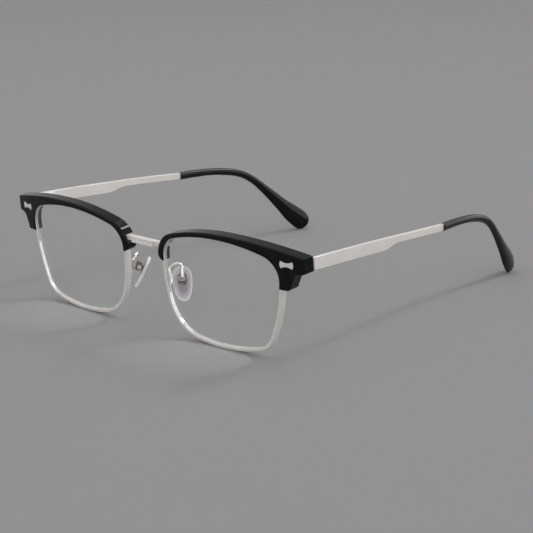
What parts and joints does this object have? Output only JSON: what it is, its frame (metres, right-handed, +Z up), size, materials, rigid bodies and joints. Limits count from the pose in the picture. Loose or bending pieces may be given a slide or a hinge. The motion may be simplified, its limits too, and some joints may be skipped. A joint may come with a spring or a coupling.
{
  "type": "browline glasses",
  "caption": "Browline glasses: dark acetate brows on metal rims, clear lenses, grooved bar bridge, rocking nose pads and slim metal temples that fold, with bent acetate tips.",
  "frame": {"origin": "middle of the open glasses' overall box, at the level of the table they stand on", "axes": "+X to the wearer's left, +Y back along the temples and +Z up"},
  "size_m": [0.141, 0.1559, 0.0413],
  "materials": {
    "acetate": "polished black",
    "metal": "satin",
    "polished_metal": "polished",
    "screw": "turned",
    "lens": "clear",
    "silicone": "clear, soft"
  },
  "bodies": {
    "front": {"brow_left": "acetate", "brow_rivet_left": "polished_metal", "eyewire_left": "metal", "brow_screw_left": "screw", "lens_left": "lens", "hinge_plate_left": "metal", "hinge_screw_left": "screw", "pad_box_left": "metal", "pad_screw_left": "screw", "pad_arm_left": "metal", "brow_right": "acetate", "brow_rivet_right": "polished_metal", "eyewire_right": "metal", "brow_screw_right": "screw", "lens_right": "lens", "hinge_plate_right": "metal", "hinge_screw_right": "screw", "pad_box_right": "metal", "pad_screw_right": "screw", "pad_arm_right": "metal", "bridge": "metal"},
    "temple_left": {"temple_left": "metal", "hinge_leaf_left": "metal", "temple_tip_left": "acetate"},
    "temple_right": {"temple_right": "metal", "hinge_leaf_right": "metal", "temple_tip_right": "acetate"},
    "nose_pad_left": {"nose_pad_left": "silicone", "pad_insert_left": "metal"},
    "nose_pad_right": {"nose_pad_right": "silicone", "pad_insert_right": "metal"}
  },
  "joints": [
    {"name": "temple_fold_left", "type": "hinge", "parent": "front", "child": "temple_left", "pos_m": [0.06765, -0.06623, 0.03483], "axis": [0, 0, 1], "range_deg": [0, 85]},
    {"name": "temple_fold_right", "type": "hinge", "parent": "front", "child": "temple_right", "pos_m": [-0.06765, -0.06623, 0.03483], "axis": [0, 0, -1], "range_deg": [0, 81]},
    {"name": "pad_rock_left", "type": "hinge", "parent": "front", "child": "nose_pad_left", "pos_m": [0.01115, -0.06724, 0.01934], "axis": [-0.6743, -0.7348, -0.0733], "range_deg": [-12, 12]},
    {"name": "pad_rock_right", "type": "hinge", "parent": "front", "child": "nose_pad_right", "pos_m": [-0.01115, -0.06724, 0.01934], "axis": [-0.6743, 0.7348, 0.0733], "range_deg": [-12, 12]}
  ]
}
